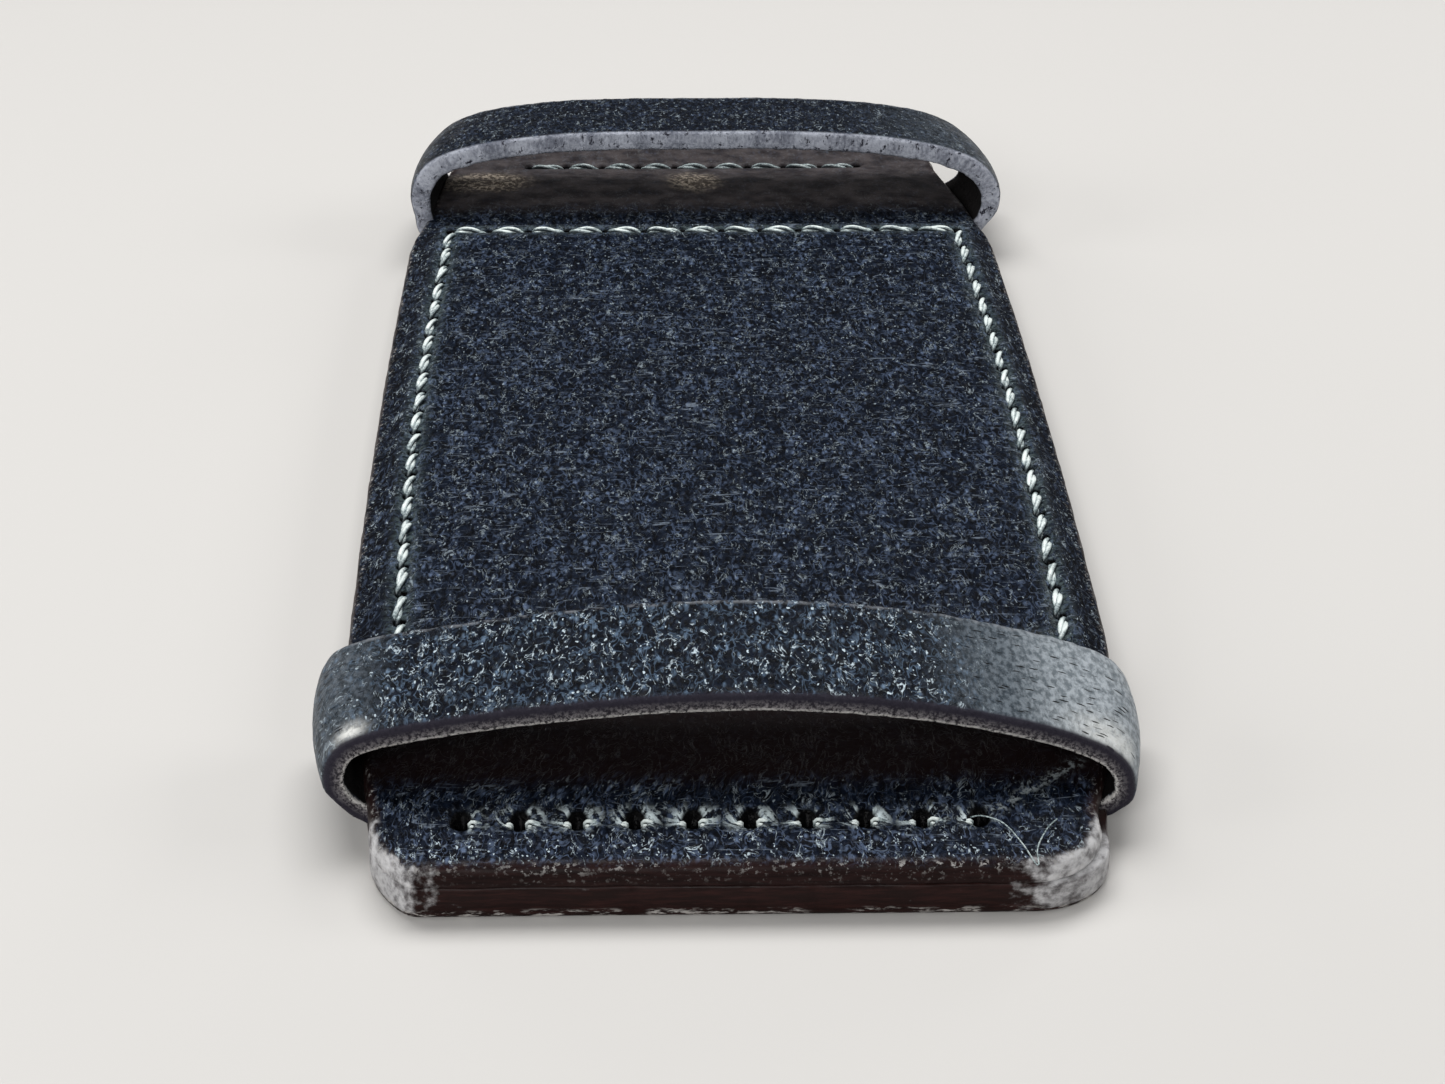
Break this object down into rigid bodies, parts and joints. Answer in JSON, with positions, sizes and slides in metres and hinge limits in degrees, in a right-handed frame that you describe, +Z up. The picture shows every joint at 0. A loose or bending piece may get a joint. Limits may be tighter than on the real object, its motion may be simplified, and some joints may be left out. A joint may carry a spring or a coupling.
{
  "type": "strap shoulder pad",
  "caption": "Flat padded leather shoulder pad with a stitched panel, rounded tongue ends and an arched leather keeper across each end for a strap to pass through.",
  "frame": {"origin": "under the middle of the pad, on the surface it rests on", "axes": "+X across the pad, +Y along it towards the far keeper, +Z up out of the stitched side"},
  "size_m": [0.047, 0.102, 0.0098],
  "materials": {
    "base_leather": "black leather, smooth, burnished at the edges",
    "cover_leather": "blue-black leather with a fine open grain, satin",
    "keeper_leather": "blue-black grained leather, dusty and worn pale at the shoulders",
    "felt": "grey felt padding, hidden",
    "thread": "waxed grey-green twisted thread"
  },
  "bodies": {
    "pad": {"base_panel": "base_leather", "top_cover": "cover_leather", "felt_pad": "felt", "panel_seam_needle_thread": "thread", "panel_seam_shuttle_thread": "thread", "near_end_needle_thread": "thread", "near_end_shuttle_thread": "thread", "far_end_needle_thread": "thread", "far_end_shuttle_thread": "thread", "near_keeper_right_tail": "keeper_leather", "near_keeper_left_tail": "keeper_leather", "near_keeper_lap_thread": "thread", "far_keeper_right_tail": "keeper_leather", "far_keeper_left_tail": "keeper_leather", "far_keeper_lap_thread": "thread"},
    "near_keeper": {"near_keeper_arch": "keeper_leather"},
    "far_keeper": {"far_keeper_arch": "keeper_leather"}
  },
  "joints": [
    {"name": "near_keeper_lean", "type": "hinge", "parent": "pad", "child": "near_keeper", "pos_m": [0, -0.0395, 0.0036], "axis": [1, 0, 0], "range_deg": [-17, 13], "stiffness_Nm_per_rad": 0.005},
    {"name": "far_keeper_lean", "type": "hinge", "parent": "pad", "child": "far_keeper", "pos_m": [0, 0.0395, 0.0036], "axis": [1, 0, 0], "range_deg": [-10.7, 19.3], "stiffness_Nm_per_rad": 0.005}
  ]
}
